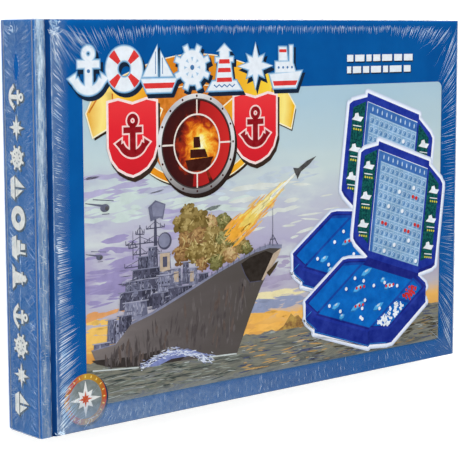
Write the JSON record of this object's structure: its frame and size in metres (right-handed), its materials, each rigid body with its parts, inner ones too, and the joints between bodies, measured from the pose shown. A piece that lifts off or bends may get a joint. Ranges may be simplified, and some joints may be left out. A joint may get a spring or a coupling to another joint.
{
  "type": "fleet guessing game set",
  "caption": "Book-style boxed fleet guessing game: a carton with a swinging printed cover in shrink film, holding folding plastic game cases with peg grids, ships and pegs.",
  "frame": {"origin": "middle of the back board's outer face, which is the carton's underside when it lies on its back", "axes": "+Z out of the cover, +X along the long side away from the spine, +Y towards the top of the cover's picture"},
  "size_m": [0.3358, 0.2258, 0.0324],
  "materials": {
    "printed_board": "blue printed board with a gloss varnish",
    "grey_board": "plain grey-beige board, matt",
    "film": "clear shrink film, glossy, wrinkled at the edges",
    "paper": "printed paper, matt",
    "case_blue": "royal blue moulded plastic, satin",
    "ocean_blue": "blue moulded plastic, satin",
    "target_blue": "pale blue translucent plastic",
    "card_green": "printed card, dark teal",
    "ship_blue": "light blue moulded plastic",
    "peg_white": "white moulded plastic",
    "peg_red": "red moulded plastic"
  },
  "bodies": {
    "carton": {"back_board": "printed_board", "spine_board": "printed_board", "hinge_strip": "printed_board", "crease_strip": "printed_board", "carton_tray": "grey_board", "rules_leaflet": "paper", "film_sides": "film", "case_a_tray": "case_blue", "case_a_ocean_grid": "ocean_blue", "case_a_hinge_pin_left": "case_blue", "case_a_hinge_pin_right": "case_blue", "case_a_red_pegs": "peg_red", "case_a_white_pegs": "peg_white", "case_a_ocean_peg": "peg_white", "case_a_ship_01_4_deck": "ship_blue", "case_a_ship_02_3_deck": "ship_blue", "case_a_ship_03_3_deck": "ship_blue", "case_a_ship_04_2_deck": "ship_blue", "case_a_ship_05_2_deck": "ship_blue", "case_a_ship_06_2_deck": "ship_blue", "case_a_ship_07_1_deck": "ship_blue", "case_a_ship_08_1_deck": "ship_blue", "case_a_ship_09_1_deck": "ship_blue", "case_a_ship_10_1_deck": "ship_blue", "case_b_tray": "case_blue", "case_b_ocean_grid": "ocean_blue", "case_b_hinge_pin_left": "case_blue", "case_b_hinge_pin_right": "case_blue", "case_b_red_pegs": "peg_red", "case_b_white_pegs": "peg_white", "case_b_ocean_peg": "peg_white", "case_b_ship_01_4_deck": "ship_blue", "case_b_ship_02_3_deck": "ship_blue", "case_b_ship_03_3_deck": "ship_blue", "case_b_ship_04_2_deck": "ship_blue", "case_b_ship_05_2_deck": "ship_blue", "case_b_ship_06_2_deck": "ship_blue", "case_b_ship_07_1_deck": "ship_blue", "case_b_ship_08_1_deck": "ship_blue", "case_b_ship_09_1_deck": "ship_blue", "case_b_ship_10_1_deck": "ship_blue"},
    "cover": {"cover_board": "printed_board", "film_front": "film"},
    "case_a_lid": {"case_a_lid": "case_blue", "case_a_target_grid": "target_blue", "case_a_fleet_card_left": "card_green", "case_a_fleet_card_right": "card_green", "case_a_target_peg_white": "peg_white", "case_a_target_peg_red": "peg_red"},
    "case_b_lid": {"case_b_lid": "case_blue", "case_b_target_grid": "target_blue", "case_b_fleet_card_left": "card_green", "case_b_fleet_card_right": "card_green", "case_b_target_peg_white": "peg_white", "case_b_target_peg_red": "peg_red"}
  },
  "joints": [
    {"name": "cover_hinge", "type": "hinge", "parent": "carton", "child": "cover", "pos_m": [-0.1595, 0, 0.0325], "axis": [0, -1, 0], "range_deg": [0, 180]},
    {"name": "case_a_lid_hinge", "type": "hinge", "parent": "carton", "child": "case_a_lid", "pos_m": [-0.1475, 0, 0.02115], "axis": [0, -1, 0], "range_deg": [0, 100]},
    {"name": "case_b_lid_hinge", "type": "hinge", "parent": "carton", "child": "case_b_lid", "pos_m": [0.0125, 0, 0.02115], "axis": [0, -1, 0], "range_deg": [0, 100]}
  ],
  "couplings": [
    {"joint": "case_a_lid_hinge", "follows": "cover_hinge", "ratio": 0.5555},
    {"joint": "case_b_lid_hinge", "follows": "cover_hinge", "ratio": 0.5555}
  ]
}
